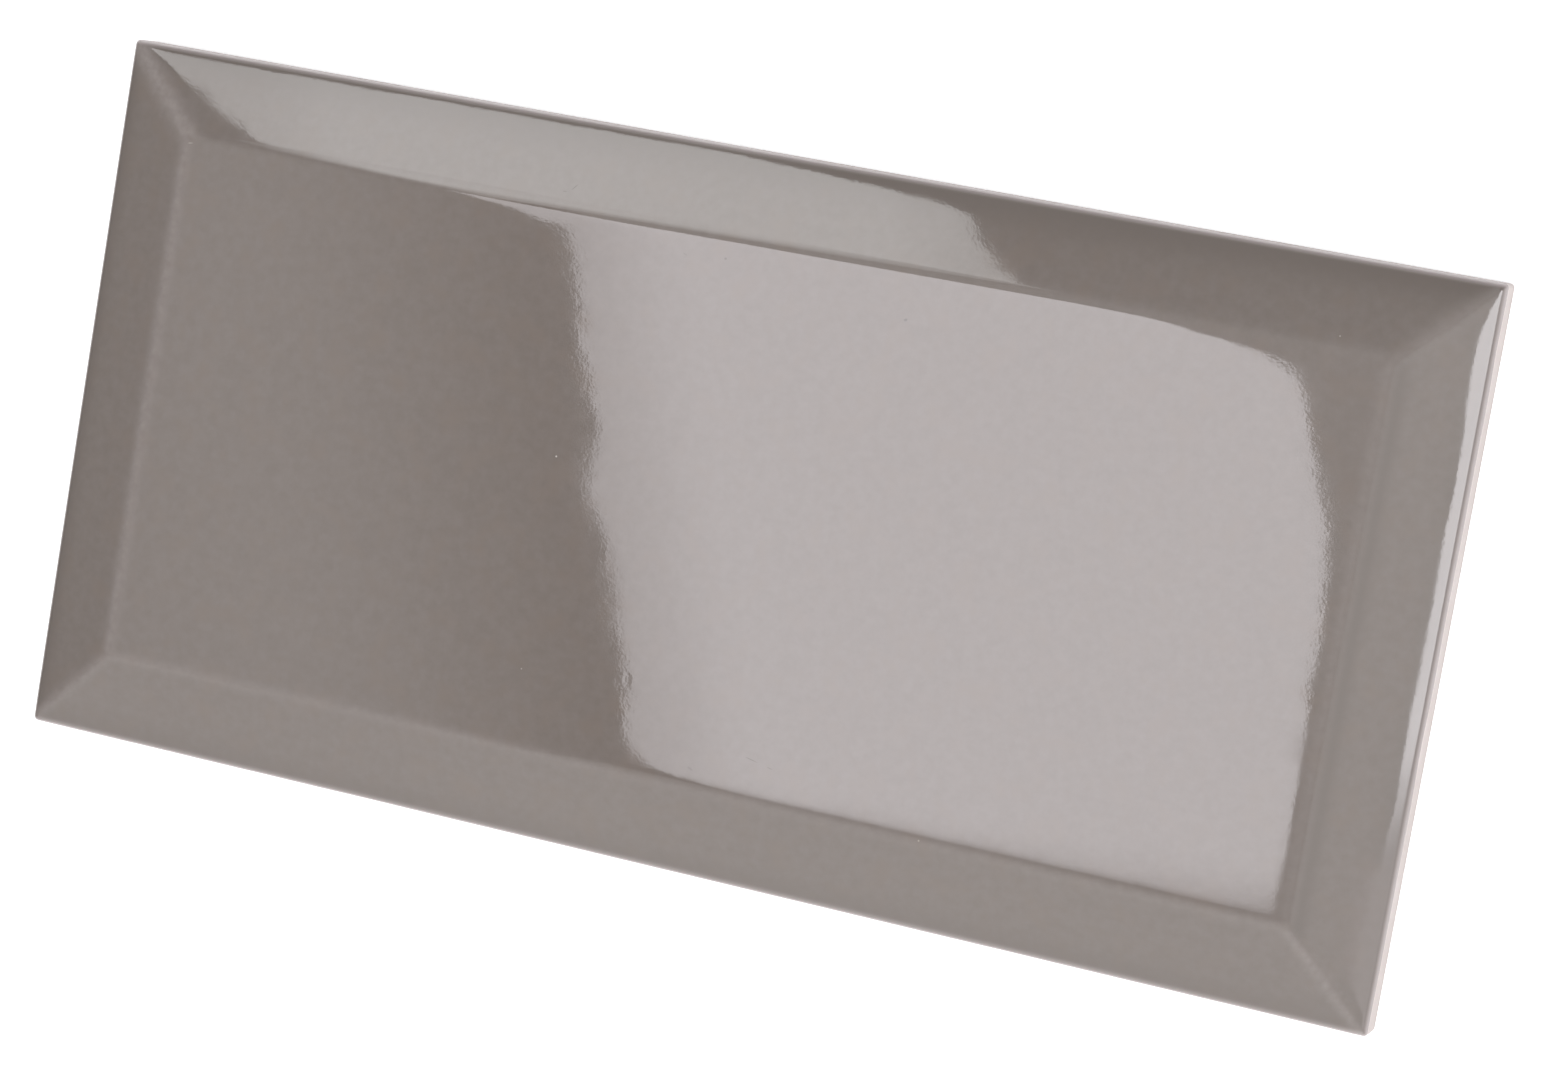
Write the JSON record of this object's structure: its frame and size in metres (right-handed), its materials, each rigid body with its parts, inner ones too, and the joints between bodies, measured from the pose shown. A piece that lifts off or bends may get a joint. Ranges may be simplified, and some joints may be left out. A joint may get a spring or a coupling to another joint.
{
  "type": "bevelled wall tile",
  "caption": "Oblong glazed ceramic wall tile with a raised flat panel, sloping mitred border, rounded lip, bare biscuit sides and a grooved back for adhesive.",
  "frame": {"origin": "middle of the back, on the plane that beds against the wall", "axes": "+X along the long side, +Y along the short side, +Z out of the glazed face"},
  "size_m": [0.2, 0.1, 0.008],
  "materials": {
    "glazed_tile": "gloss warm grey glaze on the face, bare matt pink-white biscuit on the sides and back"
  },
  "bodies": {
    "root": {"bevelled_tile": "glazed_tile"}
  },
  "joints": []
}
